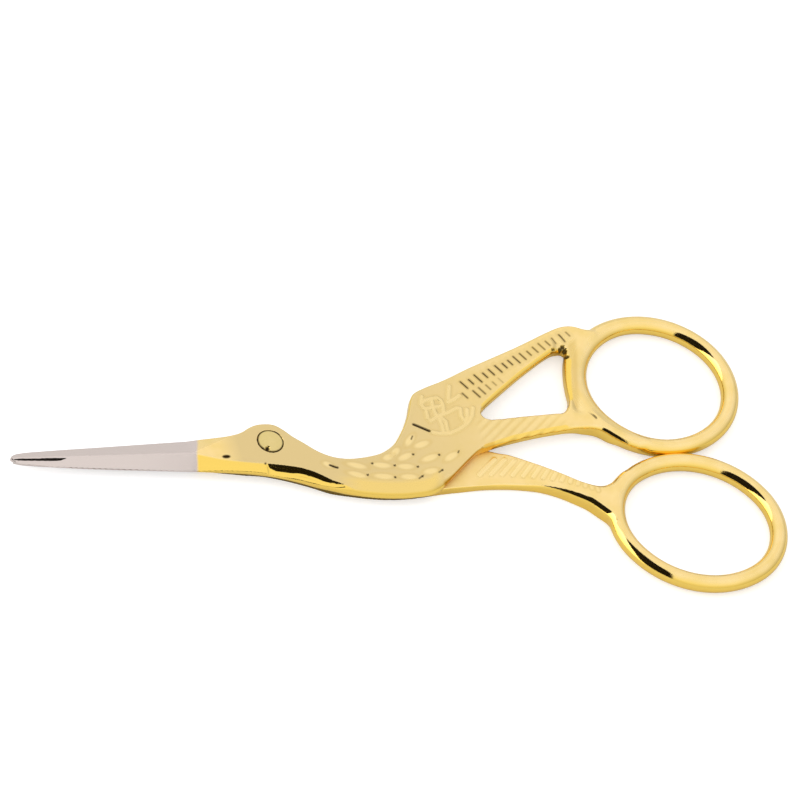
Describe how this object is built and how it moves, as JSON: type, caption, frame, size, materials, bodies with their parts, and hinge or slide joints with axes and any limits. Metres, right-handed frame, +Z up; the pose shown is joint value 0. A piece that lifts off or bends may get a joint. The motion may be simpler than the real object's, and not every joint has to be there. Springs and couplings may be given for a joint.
{
  "type": "embroidery scissors",
  "caption": "Small embroidery scissors shaped as a standing stork, with narrow bill blades, a crossing pivot at the eye and oval finger rings.",
  "frame": {"origin": "on the surface that the closed scissors lie on, under the centre of their bounding box", "axes": "+X from the blade tip to the finger rings, +Y towards the bird's back and tail, +Z up, out of the decorated face"},
  "size_m": [0.0932, 0.0402, 0.0025],
  "materials": {
    "front_plating": "gold-plated satin steel, bare nickel-coloured blade",
    "back_plating": "gold-plated satin steel, bare nickel-coloured blade",
    "screw_plating": "gold-plated steel, polished"
  },
  "bodies": {
    "back": {"back_half": "back_plating", "pivot_screw": "screw_plating"},
    "front": {"front_half": "front_plating"}
  },
  "joints": [
    {"name": "pivot", "type": "hinge", "parent": "back", "child": "front", "pos_m": [-0.01439, 0.00483, 0.00121], "axis": [0, 0, 1], "range_deg": [0, 75]}
  ]
}
